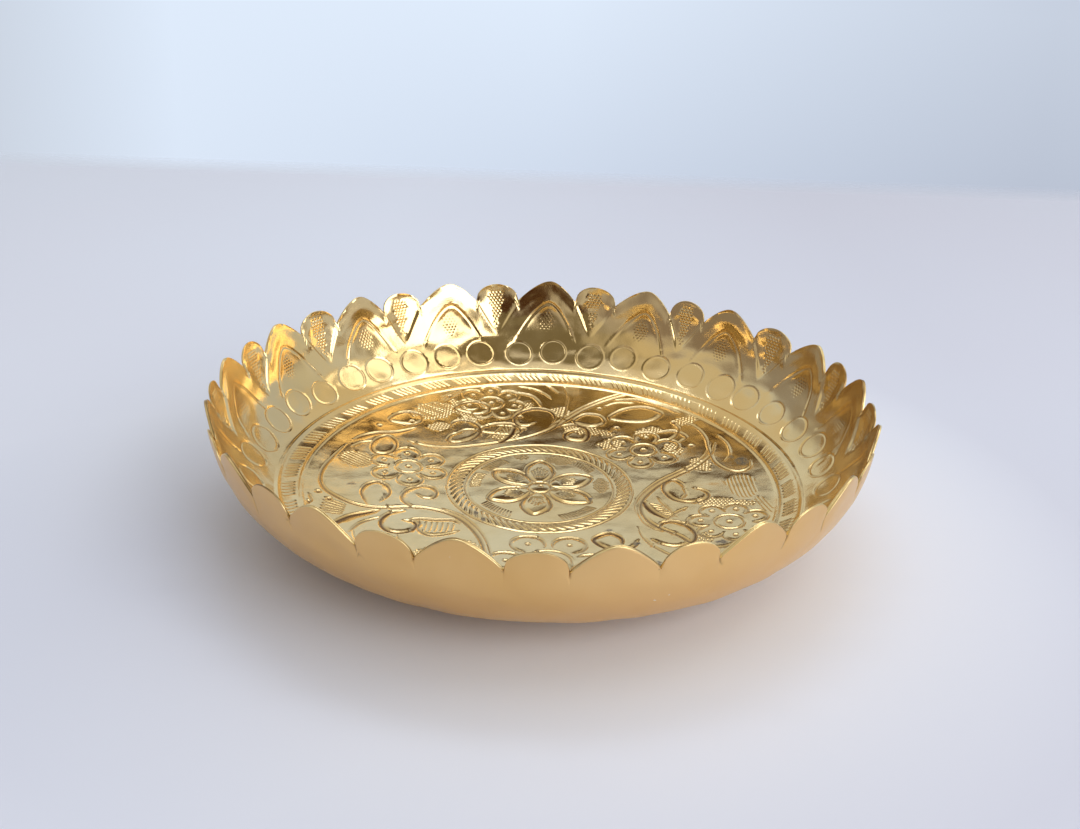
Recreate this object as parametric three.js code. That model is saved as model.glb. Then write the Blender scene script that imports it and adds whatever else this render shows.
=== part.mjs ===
// Lotus urli bowl: a shallow brass bowl for floating flowers and lamps.
// Two pressed sheets nest together: a plain outer shell, and an embossed liner that shows inside.
// Both are cut at the rim into pointed and rounded lotus petals.
// Millimetres, +Z up, origin at the centre of the flat base. +Y points at a large petal's tip.

import * as THREE from 'three';

// Rim and height
const tipRadius = 125;          // axis to the outer face at a large petal's tip
const tipHeight = 49.2;         // base to a large petal's tip

// Outer meridian: flat base, gentle foot slope, round belly, steep wall
const baseCornerRadius = 62.5;  // where the base plane and the foot slope would meet
const baseBlendRadius = 50;     // rounds that corner
const footAngle = 11.9;         // slope of the underside outside the base, in degrees
const bellyRadius = 38.5;       // rounds the corner of foot slope and wall
const wallAngle = 76.3;         // slope of the wall, in degrees

// Sheets, measured square to their faces
const shellSheet = 1.2;
const linerSheet = 0.6;
const seatGap = 0.3;            // clearance between shell and liner

// Petals: pointed large ones alternate with rounded small ones
const petalPairs = 17;
const petalHeight = 27;         // large tip down to the petals' feet, along the wall
const notchDepth = 9.4;         // large tip down to the notch, along the wall
const smallPetalDrop = 1.2;     // large tip down to the small petal's crown
const largePetalWidth = 12.4;   // notch to notch, in degrees
const largePetalPoint = 1.35;   // 1 gives straight sides, 2 a round crown
const largePetalDish = 0.5;     // hollow of a large petal, bulging outwards
const smallPetalDish = 1.5;     // hollow of a small petal, bulging outwards
const dishPeak = 1.5;           // 1 puts the deepest point halfway up a petal, more puts it higher

// Embossed rings on the liner
const borderInset = 24;         // tip radius to the border's outer ring
const borderWidth = 8.5;        // outer ring to inner ring of the border
const ringHalfWidth = 1.3;      // crest to foot of a border ring
const ringHeight = 0.8;
const medallionRadius = 34;     // crest of the rope ring round the central flower
const ropeHalfWidth = 3;
const ropeHeight = 0.9;
const bossRadius = 5;           // domed centre of the flower
const bossHeight = 0.8;

// Facets
const petalSteps = 6;           // columns across each petal
const petalRows = 4;            // rows from a petal's foot to its cut edge
const bandRows = 3;             // rows from the border's outer ring to the petals' feet
const bellyRows = 2;            // rows from the border ring's level down to the foot slope

const linerOffset = shellSheet + seatGap;
const wallStack = linerOffset + linerSheet;
const pairPitch = THREE.MathUtils.degToRad(360 / petalPairs);
const largeHalfAngle = THREE.MathUtils.degToRad(largePetalWidth / 2);
const smallHalfAngle = pairPitch / 2 - largeHalfAngle;
const awayAngle = Math.PI / 2;

// Lines and arcs of the outer face, from the axis to a large petal's tip
function buildMeridian() {
  const foot = THREE.MathUtils.degToRad(footAngle);
  const wall = THREE.MathUtils.degToRad(wallAngle);
  const climb = (tipRadius - baseCornerRadius) * Math.tan(wall) - tipHeight;
  const cornerRun = climb / (Math.tan(wall) - Math.tan(foot));
  const corner = new THREE.Vector2(baseCornerRadius + cornerRun, cornerRun * Math.tan(foot));
  const wallLength = corner.distanceTo(new THREE.Vector2(tipRadius, tipHeight));
  const baseTangent = baseBlendRadius * Math.tan(foot / 2);
  const slopeLength = cornerRun / Math.cos(foot) - baseTangent;
  const halfTurn = Math.tan((wall - foot) / 2);
  const belly = Math.min(bellyRadius, wallLength / halfTurn, slopeLength / halfTurn);
  const start = corner.clone().sub(
    new THREE.Vector2(Math.cos(foot), Math.sin(foot)).multiplyScalar(belly * halfTurn),
  );
  const flat = baseCornerRadius - baseTangent;
  const path = new THREE.Path();
  path.moveTo(0, 0);
  path.lineTo(flat, 0);
  path.absarc(flat, baseBlendRadius, baseBlendRadius, -Math.PI / 2, foot - Math.PI / 2, false);
  path.absarc(
    start.x - belly * Math.sin(foot),
    start.y + belly * Math.cos(foot),
    belly,
    foot - Math.PI / 2,
    wall - Math.PI / 2,
    false,
  );
  path.lineTo(tipRadius, tipHeight);
  const length = path.getLength();
  const depthOf = (curve) => length - path.getCurveLengths()[path.curves.indexOf(curve)];
  const arcs = path.curves.filter((curve) => curve.isEllipseCurve);
  return {
    path,
    length,
    flat,
    blendTop: depthOf(arcs[0]),
    bellyFoot: depthOf(arcs[1]) + arcs[1].getLength(),
  };
}

const meridian = buildMeridian();

// A point of a face that lies offset inside the outer face, depth below a large tip
function facePoint(depth, offset, azimuth) {
  const along = 1 - depth / meridian.length;
  const outer = meridian.path.getPoint(along);
  const tangent = meridian.path.getTangent(along);
  return turned(outer.x - tangent.y * offset, outer.y + tangent.x * offset, azimuth);
}

function turned(radius, height, azimuth) {
  return new THREE.Vector3(radius * Math.cos(azimuth), radius * Math.sin(azimuth), height);
}

// Columns of one petal pair, from a large tip through the small petal to the next large tip
function pairColumns(first) {
  const columns = [];
  const half = petalSteps / 2;
  for (let i = 0; i < half; i += 1) {
    const across = i / half;
    columns.push({ azimuth: first + across * largeHalfAngle, large: true, across });
  }
  for (let i = -half; i < half; i += 1) {
    const across = Math.sin((i / half) * (Math.PI / 2));
    const centre = first + pairPitch / 2;
    columns.push({ azimuth: centre + across * smallHalfAngle, large: false, across });
  }
  for (let i = -half; i < 0; i += 1) {
    const across = i / half;
    columns.push({ azimuth: first + pairPitch + across * largeHalfAngle, large: true, across });
  }
  return columns;
}

function rimColumns() {
  const columns = [];
  for (let pair = 0; pair < petalPairs; pair += 1) {
    columns.push(...pairColumns(awayAngle + pair * pairPitch));
  }
  return columns;
}

// How far the cut edge lies below a large tip, along the wall
function edgeDepth({ large, across }) {
  if (large) {
    return notchDepth * Math.abs(across) ** largePetalPoint;
  }
  const crown = Math.sqrt(Math.max(0, 1 - across ** 2));
  return notchDepth - (notchDepth - smallPetalDrop) * crown;
}

// Rise is 0 at the petals' feet and 1 at the cut edge
function petalPoint(column, rise, offset) {
  const depth = petalHeight + (edgeDepth(column) - petalHeight) * rise;
  const hollow = column.large ? largePetalDish : smallPetalDish;
  const dish = hollow * (1 - column.across ** 2) * Math.sin(Math.PI * rise ** dishPeak);
  return facePoint(depth, offset - dish, column.azimuth);
}

const columns = rimColumns();
const everySecond = columns.filter((column, index) => index % 2 === 0);
const everyFourth = columns.filter((column, index) => index % 4 === 0);

// A closed skin, stitched ring by ring from the centre of its underside to the centre of its top
class Skin {
  constructor() {
    this.positions = [];
    this.triangles = [];
    this.last = [];
  }

  addRing(ringColumns, place) {
    const ring = ringColumns.map((column) => {
      this.positions.push(...place(column).toArray());
      return this.positions.length / 3 - 1;
    });
    this.stitch(ring);
    this.last = ring;
  }

  addCentre(height) {
    this.addRing([columns[0]], () => new THREE.Vector3(0, 0, height));
  }

  // Joins two rings, where one has a whole multiple of the other's columns
  stitch(ring) {
    const steps = this.last.length === 0 ? 0 : Math.max(this.last.length, ring.length);
    const pick = (from, step) => from[Math.round((step * from.length) / steps) % from.length];
    for (let step = 0; step < steps; step += 1) {
      const low = pick(this.last, step);
      const lowNext = pick(this.last, step + 1);
      const high = pick(ring, step);
      const highNext = pick(ring, step + 1);
      if (low !== lowNext) {
        this.triangles.push(low, lowNext, high);
      }
      if (high !== highNext) {
        this.triangles.push(lowNext, highNext, high);
      }
    }
  }

  // Petal rows of one face, up to the cut edge or down from it
  addPetals(offset, goingUp) {
    for (let row = 0; row <= petalRows; row += 1) {
      const rise = (goingUp ? row : petalRows - row) / petalRows;
      this.addRing(columns, (column) => petalPoint(column, rise, offset));
    }
  }

  // Plain rows of one face, at the depths given
  addWall(offset, depths) {
    for (const depth of depths) {
      this.addRing(everySecond, (column) => facePoint(depth, offset, column.azimuth));
    }
  }

  mesh(name, material) {
    const geometry = new THREE.BufferGeometry();
    geometry.setAttribute('position', new THREE.Float32BufferAttribute(this.positions, 3));
    geometry.setIndex(this.triangles);
    geometry.computeVertexNormals();
    const mesh = new THREE.Mesh(geometry, material);
    mesh.name = name;
    return mesh;
  }
}

// Depths strictly between two, in equal steps
function between(from, to, steps) {
  const depths = [];
  for (let step = 1; step < steps; step += 1) {
    depths.push(from + ((to - from) * step) / steps);
  }
  return depths;
}

// A face narrows steadily from the tip down, so halving finds the depth of a radius
function depthAtRadius(radius, offset) {
  let shallow = 0;
  let deep = meridian.length - meridian.flat;
  for (let i = 0; i < 48; i += 1) {
    const middle = (shallow + deep) / 2;
    if (facePoint(middle, offset, 0).x > radius) {
      shallow = middle;
    } else {
      deep = middle;
    }
  }
  return shallow;
}

const borderRadius = tipRadius - borderInset;
const borderDepth = depthAtRadius(borderRadius, wallStack);
const bandDepths = between(petalHeight, borderDepth, bandRows);

// Plain satin shell: base, foot slope, belly and petals
function outerShell() {
  const lowerDepths = [
    ...bandDepths,
    borderDepth,
    ...between(borderDepth, meridian.bellyFoot, bellyRows),
    meridian.bellyFoot,
    meridian.blendTop,
  ];
  const flatDepth = meridian.length - meridian.flat;
  const skin = new Skin();
  skin.addCentre(0);
  skin.addRing(everyFourth, (column) => facePoint(flatDepth, 0, column.azimuth));
  skin.addWall(0, lowerDepths.toReversed());
  skin.addPetals(0, true);
  skin.addPetals(shellSheet, false);
  skin.addWall(shellSheet, lowerDepths);
  skin.addRing(everyFourth, (column) => facePoint(flatDepth, shellSheet, column.azimuth));
  skin.addCentre(shellSheet);
  return skin.mesh(
    'outer_shell',
    new THREE.MeshStandardMaterial({ color: 0xc8a064, roughness: 0.5, metalness: 0.9 }),
  );
}

// The liner's floor is a shallow dish from the border ring to the axis
function floorPoint(radius, offset, lift, azimuth) {
  const edge = facePoint(borderDepth, offset, 0);
  const dished = offset + (edge.z - offset) * (radius / edge.x) ** 2;
  return turned(radius, dished + lift, azimuth);
}

// Thin polished liner: dished floor with its embossed rings, belly and petals
function embossedLiner() {
  const innerRing = borderRadius - borderWidth;
  const midFloor = (innerRing + medallionRadius) / 2;
  const skin = new Skin();
  const addFloorRing = (ringColumns, radius, offset, lift) => {
    skin.addRing(ringColumns, ({ azimuth }) => floorPoint(radius, offset, lift, azimuth));
  };
  // Rounded ridge on the top face: inwards over its outer foot, crest and inner foot
  const addRidge = (ringColumns, crest, halfWidth, height) => {
    addFloorRing(ringColumns, crest + halfWidth, wallStack, 0);
    addFloorRing(ringColumns, crest, wallStack, height);
    addFloorRing(ringColumns, crest - halfWidth, wallStack, 0);
  };

  skin.addCentre(linerOffset);
  addFloorRing(everyFourth, medallionRadius, linerOffset, 0);
  addFloorRing(everyFourth, midFloor, linerOffset, 0);
  addFloorRing(everySecond, innerRing, linerOffset, 0);
  skin.addWall(linerOffset, [borderDepth, ...bandDepths.toReversed()]);
  skin.addPetals(linerOffset, true);

  skin.addPetals(wallStack, false);
  skin.addWall(wallStack, [...bandDepths, borderDepth - ringHalfWidth]);
  skin.addWall(wallStack + ringHeight, [borderDepth]);
  addFloorRing(everySecond, borderRadius - ringHalfWidth, wallStack, 0);
  addRidge(everySecond, innerRing, ringHalfWidth, ringHeight);
  addFloorRing(everyFourth, midFloor, wallStack, 0);
  addRidge(everyFourth, medallionRadius, ropeHalfWidth, ropeHeight);
  addFloorRing(everyFourth, bossRadius, wallStack, 0);
  skin.addCentre(wallStack + bossHeight);
  return skin.mesh(
    'embossed_liner',
    new THREE.MeshStandardMaterial({ color: 0xd9b868, roughness: 0.15, metalness: 1 }),
  );
}

const urliBowl = new THREE.Group();
urliBowl.add(outerShell(), embossedLiner());

export default urliBowl;
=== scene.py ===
# Lotus urli bowl in brass: a satin outer shell and a thin polished liner, chased by hand.
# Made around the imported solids, in their frame: +Z up, +Y at a large petal's tip.

import math

import bmesh
import bpy
import numpy as np
from mathutils import Matrix, Vector


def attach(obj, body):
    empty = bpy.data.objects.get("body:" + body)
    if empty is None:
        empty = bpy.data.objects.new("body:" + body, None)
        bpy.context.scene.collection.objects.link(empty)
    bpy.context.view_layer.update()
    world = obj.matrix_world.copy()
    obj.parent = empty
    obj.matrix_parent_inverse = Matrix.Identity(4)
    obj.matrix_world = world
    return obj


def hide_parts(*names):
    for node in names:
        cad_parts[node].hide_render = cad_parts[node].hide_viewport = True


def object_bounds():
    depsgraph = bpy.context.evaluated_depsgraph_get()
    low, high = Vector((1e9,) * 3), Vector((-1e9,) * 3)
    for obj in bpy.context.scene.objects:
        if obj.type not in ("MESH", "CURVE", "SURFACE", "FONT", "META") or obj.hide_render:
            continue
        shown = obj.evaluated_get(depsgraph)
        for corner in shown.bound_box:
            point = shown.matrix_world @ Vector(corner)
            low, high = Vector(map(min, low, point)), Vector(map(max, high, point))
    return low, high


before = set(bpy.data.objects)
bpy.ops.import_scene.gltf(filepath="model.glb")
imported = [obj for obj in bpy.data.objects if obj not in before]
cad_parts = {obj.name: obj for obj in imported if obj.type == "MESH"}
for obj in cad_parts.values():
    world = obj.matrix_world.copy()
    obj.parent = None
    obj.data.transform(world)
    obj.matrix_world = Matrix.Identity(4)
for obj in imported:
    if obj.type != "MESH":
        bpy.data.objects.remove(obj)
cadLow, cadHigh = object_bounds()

mm = 0.001
fullTurn = 2 * math.pi
creaseAngle = 50      # steeper edges than this stay sharp

# The bowl's own sizes, in millimetres and degrees
bowl = {
    "tipRadius": cadHigh.y / mm,   # a large petal's tip, on +Y
    "tipHeight": 49.2,
    "baseCornerRadius": 62.5,
    "baseBlendRadius": 50.0,
    "footAngle": 11.9,
    "bellyRadius": 38.5,
    "wallAngle": 76.3,
    "shellSheet": 1.2,
    "linerSheet": 0.25,            # where it is stretched thinnest
    "stack": 2.1,                  # both sheets and the gap between them
    "linerUnder": 1.25,            # the liner's hidden face, just clear of the shell
    "deepest": 0.6,                # no chasing goes deeper than this
    "floorRise": 0.2,
    "turnUp": 14,                  # how suddenly the floor turns up into the wall
    "borderRadius": 101.0,
    "borderWidth": 8.5,
    "medallionRadius": 36.8,
}
fieldEdge = bowl["borderRadius"] - bowl["borderWidth"]


def buildMeridian():
    # Outer face from the axis to a large tip: its slope runs straight between the knots
    foot = math.radians(bowl["footAngle"])
    wall = math.radians(bowl["wallAngle"])
    reach = bowl["tipRadius"] - bowl["baseCornerRadius"]
    cornerRun = (reach * math.tan(wall) - bowl["tipHeight"]) / (math.tan(wall) - math.tan(foot))
    baseTangent = bowl["baseBlendRadius"] * math.tan(foot / 2)
    bellyTangent = bowl["bellyRadius"] * math.tan((wall - foot) / 2)
    lengths = [
        bowl["baseCornerRadius"] - baseTangent,
        bowl["baseBlendRadius"] * foot,
        cornerRun / math.cos(foot) - baseTangent - bellyTangent,
        bowl["bellyRadius"] * (wall - foot),
        (reach - cornerRun) / math.cos(wall) - bellyTangent,
    ]
    knots = np.concatenate([[0], np.cumsum(lengths)])
    slopes = [0, 0, foot, foot, wall, wall]
    run = np.linspace(0, knots[-1], 8001)
    middle = np.interp((run[1:] + run[:-1]) / 2, knots, slopes)
    radius = np.concatenate([[0], np.cumsum(np.cos(middle))]) * run[1]
    height = np.concatenate([[0], np.cumsum(np.sin(middle))]) * run[1]
    return {
        "length": knots[-1],
        "flat": lengths[0],
        "run": run,
        "slope": np.interp(run, knots, slopes),
        "radius": radius,
        "height": height,
    }


meridian = buildMeridian()


def wallFace(depth, offset):
    # Radius and height of a face that lies offset inside the outer face, depth below a large tip
    run = meridian["length"] - depth
    slope = np.interp(run, meridian["run"], meridian["slope"])
    radius = np.interp(run, meridian["run"], meridian["radius"]) - np.sin(slope) * offset
    height = np.interp(run, meridian["run"], meridian["height"]) + np.cos(slope) * offset
    return radius, height


def depthAtRadius(radius, offset):
    depths = np.linspace(0, meridian["length"] - meridian["flat"], 4001)
    radii = wallFace(depths, offset)[0]
    return float(np.interp(-radius, -radii, depths))


borderDepth = depthAtRadius(bowl["borderRadius"], bowl["stack"])
borderSlope = float(np.interp(meridian["length"] - borderDepth, meridian["run"], meridian["slope"]))


def floorHeight(radius, offset):
    # A shallow dish that turns up into the wall's own slope at the border
    edgeRadius, edgeHeight = wallFace(borderDepth, offset)
    rise = edgeHeight - offset
    turnUp = (math.tan(borderSlope) * edgeRadius - 2 * rise) / (bowl["turnUp"] - 2)
    share = radius / edgeRadius
    return offset + (rise - turnUp) * share ** 2 + turnUp * share ** bowl["turnUp"]


def smooth(value):
    value = np.clip(value, 0, 1)
    return value * value * (3 - 2 * value)


def bump(distance, half):
    # 1 on the line, 0 from half a width away
    return np.clip(1 - (distance / half) ** 2, 0, 1) ** 2


def azimuthOf(across):
    return math.pi / 2 + (across - 0.5) * fullTurn


def around(angle, centre):
    # Signed angle from a centre, in radians
    return (angle - centre + math.pi) % fullTurn - math.pi


# Petals

petals = {
    "pairs": 17,
    "columns": 48,          # mesh columns in one pair
    "largeColumns": 28,     # those across the large petal
    "foot": 27.0,           # depth where the petals start
    "midRadius": 118,
    "notch": 9.4,
    "smallDrop": 1.2,
    "point": 1.55,
    "lopsided": 0.05,       # how far a tip may lean to one side
    "worn": 0.35,           # and how much lower it may be
    "step": 0.7,            # small petals are set back behind the large ones
    "stepWidth": 0.8,
    "stepRise": 2.2,
    "smallDish": 0.6,
    "largeDish": 0.35,
    "dishLevel": 1.5,       # above 1 the hollows are deepest nearer the tip
    "outsideShare": 0.15,   # how much of a hollow shows outside
    "lean": 0.6,            # each petal was tapped a little in or out
    "leanStart": 5,         # that much above its foot it begins to lean
    "curl": 0.55,           # and its tip is drawn in
    "curlDepth": 18,
    "rimStack": 1.15,       # both sheets are dressed thinner towards the cut edge
    "rimShift": 0.3,
    "rimTaper": 6.5,
    "seed": 11,
    "moved": (              # where the pattern was laid out by eye: place and turn, in degrees
        (0, 0), (5.3, -1.1), (15.9, -1.9), (26.5, -4.2), (37.1, -2.6), (47.6, -1.3), (58.2, -0.8),
        (68.8, -2.1), (79.4, -0.2), (90, -0.8), (100.6, 0.9), (111.2, 1.2), (121.8, 2.5), (132.4, 1.3),
        (142.9, 2.2), (153.5, 2.9), (174.7, 1.1), (195, 0), (360, 0),
    ),
}
pairPitch = fullTurn / petals["pairs"]
largeHalf = pairPitch * petals["largeColumns"] / petals["columns"] / 2
smallHalf = pairPitch / 2 - largeHalf
chance = np.random.default_rng(petals["seed"])
petalLean = chance.uniform(-1, 1, petals["pairs"])
petalTwist = chance.uniform(-1, 1, petals["pairs"])
petalShift = chance.uniform(-1, 1, petals["pairs"])
chance.uniform(-1, 1, petals["pairs"] * 2)     # passed over, so that the later draws stay
smallLean = chance.uniform(-1, 1, petals["pairs"])
evenPlace, byEye = np.radians(np.array(petals["moved"])).T


def petalAzimuth(across):
    # The template's columns follow the petals as they were laid out
    even = azimuthOf(across) % fullTurn
    return even + np.interp(even, evenPlace, byEye)


def petalPlace(azimuth):
    # Which pair a point is in, and its angle from the large and the small petal's centre line
    azimuth = np.interp(azimuth % fullTurn, evenPlace + byEye, evenPlace)
    turns = (azimuth - math.pi / 2) / pairPitch
    large = np.round(turns).astype(int) % petals["pairs"]
    fromLarge = around(azimuth, math.pi / 2 + large * pairPitch)
    small = np.floor(turns).astype(int) % petals["pairs"]
    fromSmall = around(azimuth, math.pi / 2 + (small + 0.5) * pairPitch)
    return large, fromLarge, small, fromSmall


def edgeDepth(azimuth):
    # How far the cut edge lies below a large tip
    large, fromLarge, small, fromSmall = petalPlace(azimuth)
    across = fromLarge / largeHalf
    lopsided = across - petals["lopsided"] * petalShift[large] * (1 - across ** 2)
    softened = np.sqrt(lopsided ** 2 + 0.0025) - 0.05 * (1 - np.abs(across))
    pointed = petals["notch"] * np.clip(softened, 0, 1.2) ** petals["point"]
    pointed += petals["worn"] * np.abs(petalTwist[large]) * (1 - across ** 2)
    crown = np.sqrt(np.clip(1 - (fromSmall / smallHalf) ** 2, 0, 1))
    drop = petals["smallDrop"] + 0.5 * (1 + smallLean[small]) * crown
    rounded = petals["notch"] - (petals["notch"] - drop) * crown
    return np.where(np.abs(fromLarge) < largeHalf, np.minimum(pointed, petals["notch"]), rounded)


def petalForm(azimuth, depth):
    # How far the liner's face, and the outer face, bulge outwards
    large, fromLarge, small, fromSmall = petalPlace(azimuth)
    edge = edgeDepth(azimuth)
    rise = np.clip((petals["foot"] - depth) / (petals["foot"] - edge), 0, 1)
    climb = np.clip((petals["foot"] - depth) / (petals["foot"] - petals["notch"]), 0, 1)
    half = np.maximum(smallHalf * climb, 1e-4)
    inset = (half - np.abs(fromSmall)) * petals["midRadius"]
    behind = petals["step"] * smooth(inset / petals["stepWidth"] + 0.5) * smooth(climb * petals["stepRise"])
    hollow = np.sin(math.pi * rise ** petals["dishLevel"])
    dish = petals["smallDish"] * np.clip(1 - (fromSmall / (half * 0.95)) ** 2, 0, 1) * hollow
    panel = np.clip(1 - (fromLarge / largeHalf) ** 2, 0, 1) * hollow
    free = smooth((petals["foot"] - petals["leanStart"] - depth) / 20) ** 1.3
    away = smooth((largeHalf * 1.4 - np.abs(fromLarge)) / (largeHalf * 0.5))
    lean = petals["lean"] * free * (
        petalLean[large] * away + petalTwist[large] * away * fromLarge / largeHalf
    )
    leanSmall = 0.5 * petals["lean"] * free * smallLean[small] * (1 - away)
    curl = petals["curl"] * np.clip((petals["curlDepth"] - depth) / petals["curlDepth"], 0, 1) ** 2
    drawn = lean + leanSmall + curl
    inner = behind + dish + petals["largeDish"] * panel - drawn
    outer = petals["outsideShare"] * (behind + dish + petals["largeDish"] * panel) - drawn
    return inner, outer


def wallPoint(azimuth, depth, offset, lift=0.0):
    inner, outer = petalForm(azimuth, depth)
    share = offset / bowl["stack"]
    taper = smooth(1 - (depth - edgeDepth(azimuth)) / petals["rimTaper"])
    offset = offset + taper * (petals["rimShift"] + share * petals["rimStack"] - offset)
    bulge = outer + (inner - outer) * share
    radius, height = wallFace(depth, offset - bulge + lift)
    return np.stack([radius * np.cos(azimuth), radius * np.sin(azimuth), height], 1)


cutEdge = {
    "setBack": 0.13,       # both faces stop this far below the edge, which is rounded
    "profile": ((0.04, 0.08), (0.0, 0.28), (0.0, 0.72), (0.04, 0.92)),   # drop in mm, share of the sheet
    "filed": (0.90, 0.72, 0.36, 1), "bare": (0.84, 0.62, 0.27, 1), "dark": (0.30, 0.17, 0.06, 1),
    "markScale": 1500, "dullScale": 38, "roughness": 0.28,
}


def rimPoint(u, point, first, last):
    # A point of the rounded cut edge of a sheet that lies between two offsets
    azimuth = petalAzimuth(u)
    depth = edgeDepth(azimuth) + point[0]
    return {"places": wallPoint(azimuth, depth, first + (last - first) * point[1])}


# Chasing tools: each cuts or punches a work, which is a set of points of the sheet

everywhere = slice(None)
farOff = 9.0


def newWork(x, y):
    return {
        "x": x,
        "y": y,
        "sunk": np.zeros(len(x)),
        "raised": np.zeros(len(x)),
        "near": np.full(len(x), farOff),
        "stain": np.zeros(len(x)),
    }


def markNear(work, found, gap, least=0.0):
    # How near a line is: the mesh is split there
    work["near"][found] = np.minimum(work["near"][found], np.maximum(gap, 0) + least)


def strike(work, found, mark, gap, least=0.0):
    # A mark counts where it is deeper than what is there already
    work["sunk"][found] = np.maximum(work["sunk"][found], mark)
    markNear(work, found, gap, least)


def curveThrough(points, closed=False, step=0.7):
    p = np.array(points, float)
    ends = (p[-1:], p[:2]) if closed else (2 * p[:1] - p[1:2], 2 * p[-1:] - p[-2:-1])
    p = np.vstack([ends[0], p, ends[1]])
    pieces = []
    for a, b, c, d in zip(p, p[1:], p[2:], p[3:]):
        count = max(2, int(np.hypot(*(c - b)) / step))
        t = np.linspace(0, 1, count, endpoint=False)[:, None]
        bend = 2 * a - 5 * b + 4 * c - d
        pieces.append(0.5 * (2 * b + (c - a) * t + bend * t ** 2 + (3 * b - a - 3 * c + d) * t ** 3))
    pieces.append(p[-2:-1])
    return np.vstack(pieces)


def ringPath(centre, radius, start=0, end=360):
    angles = np.radians(np.linspace(start, end, max(8, int(abs(end - start) / 12))))
    return np.stack([centre[0] + radius * np.cos(angles), centre[1] + radius * np.sin(angles)], 1)


def turned(path, degrees):
    angle = math.radians(degrees)
    x, y = path[:, 0], path[:, 1]
    return np.stack([x * math.cos(angle) - y * math.sin(angle),
                     x * math.sin(angle) + y * math.cos(angle)], 1)


def turnSense(path):
    # 1 where the path runs anticlockwise round its hollow side, -1 where clockwise
    x, y = path[:, 0], path[:, 1]
    return 1 if (x * np.roll(y, -1) - np.roll(x, -1) * y).sum() > 0 else -1


def nearBy(work, path, margin):
    low = path.min(0) - margin
    high = path.max(0) + margin
    inside = (work["x"] > low[0]) & (work["x"] < high[0]) & (work["y"] > low[1]) & (work["y"] < high[1])
    return np.flatnonzero(inside)


def distanceTo(x, y, path):
    # Distance to a path, how far along it, and on which side (1 is its left)
    start = path[:-1]
    along = path[1:] - start
    length = np.maximum((along ** 2).sum(1), 1e-9)
    px = x[:, None] - start[:, 0]
    py = y[:, None] - start[:, 1]
    share = np.clip((px * along[:, 0] + py * along[:, 1]) / length, 0, 1)
    gap = (px - share * along[:, 0]) ** 2 + (py - share * along[:, 1]) ** 2
    best = gap.argmin(1)
    pick = np.arange(len(x))
    side = np.sign(along[best, 0] * py[pick, best] - along[best, 1] * px[pick, best])
    return np.sqrt(gap[pick, best]), (best + share[pick, best]) / len(start), side


tracer = {"width": 1.1, "depth": 0.76, "softSide": 2.3, "steepSide": 0.85}


def chaseLine(work, line):
    # A tracer's groove, fading at both ends. Its soft side, if any, slopes gently into the leaf
    path, soft = line["path"], line["soft"]
    width, depth = line["width"] * tracer["width"], line["depth"] * tracer["depth"]
    found = nearBy(work, path, width * 2 + 0.5)
    if len(found) == 0:
        return
    distance, along, side = distanceTo(work["x"][found], work["y"][found], path)
    fade = np.ones(len(found))
    if not line["closed"]:
        fade = np.sqrt(np.clip(np.minimum(along, 1 - along) * 8 + 0.1, 0, 1))
        width = width * (0.72 + 0.42 * np.sin(math.pi * along))
    reach = np.where(side * soft > 0, tracer["softSide"], tracer["steepSide"]) if soft else 1.0
    groove = depth * fade * bump(distance, width / 2 * reach * (0.5 + 0.5 * fade))
    strike(work, found, groove, distance - width / 2)


def punchDot(work, centre, radius, depth):
    found = nearBy(work, np.array([centre]), radius + 1.2)
    distance = np.hypot(work["x"][found] - centre[0], work["y"][found] - centre[1])
    strike(work, found, depth * bump(distance, radius), distance - radius)


def toPatch(x, y, patch):
    # A patch's own two directions
    angle = math.radians(patch["tilt"])
    x = x - patch["centre"][0]
    y = y - patch["centre"][1]
    return x * math.cos(angle) + y * math.sin(angle), y * math.cos(angle) - x * math.sin(angle)


def dotPattern(u, v, pitch):
    # Distance to the nearest punch mark of staggered rows, and that mark's place
    row = np.round(v / (pitch * 0.87))
    shift = 0.5 * (row % 2)
    markU = (np.round(u / pitch - shift) + shift) * pitch
    markV = row * pitch * 0.87
    return np.hypot(u - markU, v - markV), markU, markV


def mattPatch(work, patch):
    # Ground between the leaves, punched all over with dots, hatched or stained
    found = nearBy(work, np.array([patch["centre"]]), max(patch["radii"]) + 1)
    if len(found) == 0:
        return
    u, v = toPatch(work["x"][found], work["y"][found], patch)
    across, down = patch["radii"]
    if patch["kind"] == "dots":
        distance, markU, markV = dotPattern(u, v, patch["pitch"])
        live = np.hypot(markU / across, markV / down) < 1
        mark = np.where(live, patch["depth"] * bump(distance, patch["pitch"] * 0.43), 0)
    elif patch["kind"] == "hatch":
        distance = np.abs(u - np.round(u / patch["pitch"]) * patch["pitch"])
        edge = smooth((1 - np.hypot(u / across, v / down)) * 3.5)
        live = edge > 0
        mark = patch["depth"] * bump(distance, patch["pitch"] * 0.36) * edge
    else:
        stain = smooth((1 - np.hypot(u / across, v / down)) * 3)
        work["stain"][found] = np.maximum(work["stain"][found], stain)
        return
    strike(work, found, mark, np.where(live, 0.2, farOff))


warp = {"waves": 9, "shortest": 8.0, "longest": 24.0, "steepness": 0.0012, "wallRadius": 110}
warpTurn = chance.uniform(0, fullTurn, warp["waves"])
warpPhase = chance.uniform(0, fullTurn, warp["waves"])
warpLength = np.linspace(warp["shortest"], warp["longest"], warp["waves"])


def unevenness(x, y):
    # A thin sheet is never quite flat after all the hammering
    total = np.zeros(len(x))
    for turn, phase, wave in zip(warpTurn, warpPhase, warpLength):
        along = x * math.cos(turn) + y * math.sin(turn)
        total += warp["steepness"] * wave * np.sin(along * fullTurn / wave + phase)
    return total


# The chased ornament of the floor, as lines, dots and patches in plan, in millimetres

ornament = {"lines": [], "dots": [], "patches": []}


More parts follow.
